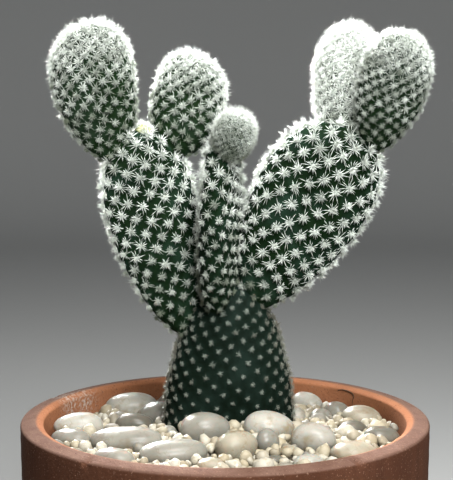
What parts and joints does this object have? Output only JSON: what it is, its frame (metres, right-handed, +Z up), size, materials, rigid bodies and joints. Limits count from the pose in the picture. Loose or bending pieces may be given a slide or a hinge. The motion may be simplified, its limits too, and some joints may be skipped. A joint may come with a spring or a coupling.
{
  "type": "potted paddle cactus",
  "caption": "Paddle cactus of flat bristle-tufted pads that branch from a thick base pad, in a plain round terracotta pot topped with rounded pebbles.",
  "frame": {"origin": "centre of the pot's foot, on the surface that it stands on", "axes": "+Z up along the pot's axis, +X to the right and -Y towards the viewer as in the picture"},
  "size_m": [0.15, 0.15, 0.2565],
  "materials": {
    "terracotta": "matte unglazed fired clay, slightly speckled",
    "potting_soil": "dark crumbly potting mix",
    "small_gravel": "matte cream gravel",
    "pebble": "smooth polished white, cream and grey pebbles",
    "old_pad": "dark blue-green waxy skin with short grey tufts",
    "green_pad": "green skin under white bristle tufts"
  },
  "bodies": {
    "root": {"pot": "terracotta", "soil": "potting_soil", "gravel_bed": "small_gravel", "base_pad": "old_pad", "left_pad": "green_pad", "middle_pad": "green_pad", "right_pad": "green_pad", "left_top_pad": "green_pad", "left_back_pad": "green_pad", "right_back_pad": "green_pad", "right_front_pad": "green_pad", "middle_top_pad": "green_pad", "left_bud": "green_pad", "pebble_01": "pebble", "pebble_02": "pebble", "pebble_03": "pebble", "pebble_04": "pebble", "pebble_05": "pebble", "pebble_06": "pebble", "pebble_07": "pebble", "pebble_08": "pebble", "pebble_09": "pebble", "pebble_10": "pebble", "pebble_11": "pebble", "pebble_12": "pebble", "pebble_13": "pebble", "pebble_14": "pebble", "pebble_15": "pebble", "pebble_16": "pebble", "pebble_17": "pebble", "pebble_18": "pebble", "pebble_19": "pebble", "pebble_20": "pebble", "pebble_21": "pebble", "pebble_22": "pebble", "pebble_23": "pebble", "pebble_24": "pebble", "pebble_25": "pebble", "pebble_26": "pebble", "pebble_27": "pebble", "pebble_28": "pebble", "pebble_29": "pebble", "pebble_30": "pebble", "pebble_31": "pebble", "pebble_32": "pebble", "pebble_33": "pebble", "pebble_34": "pebble"}
  },
  "joints": []
}
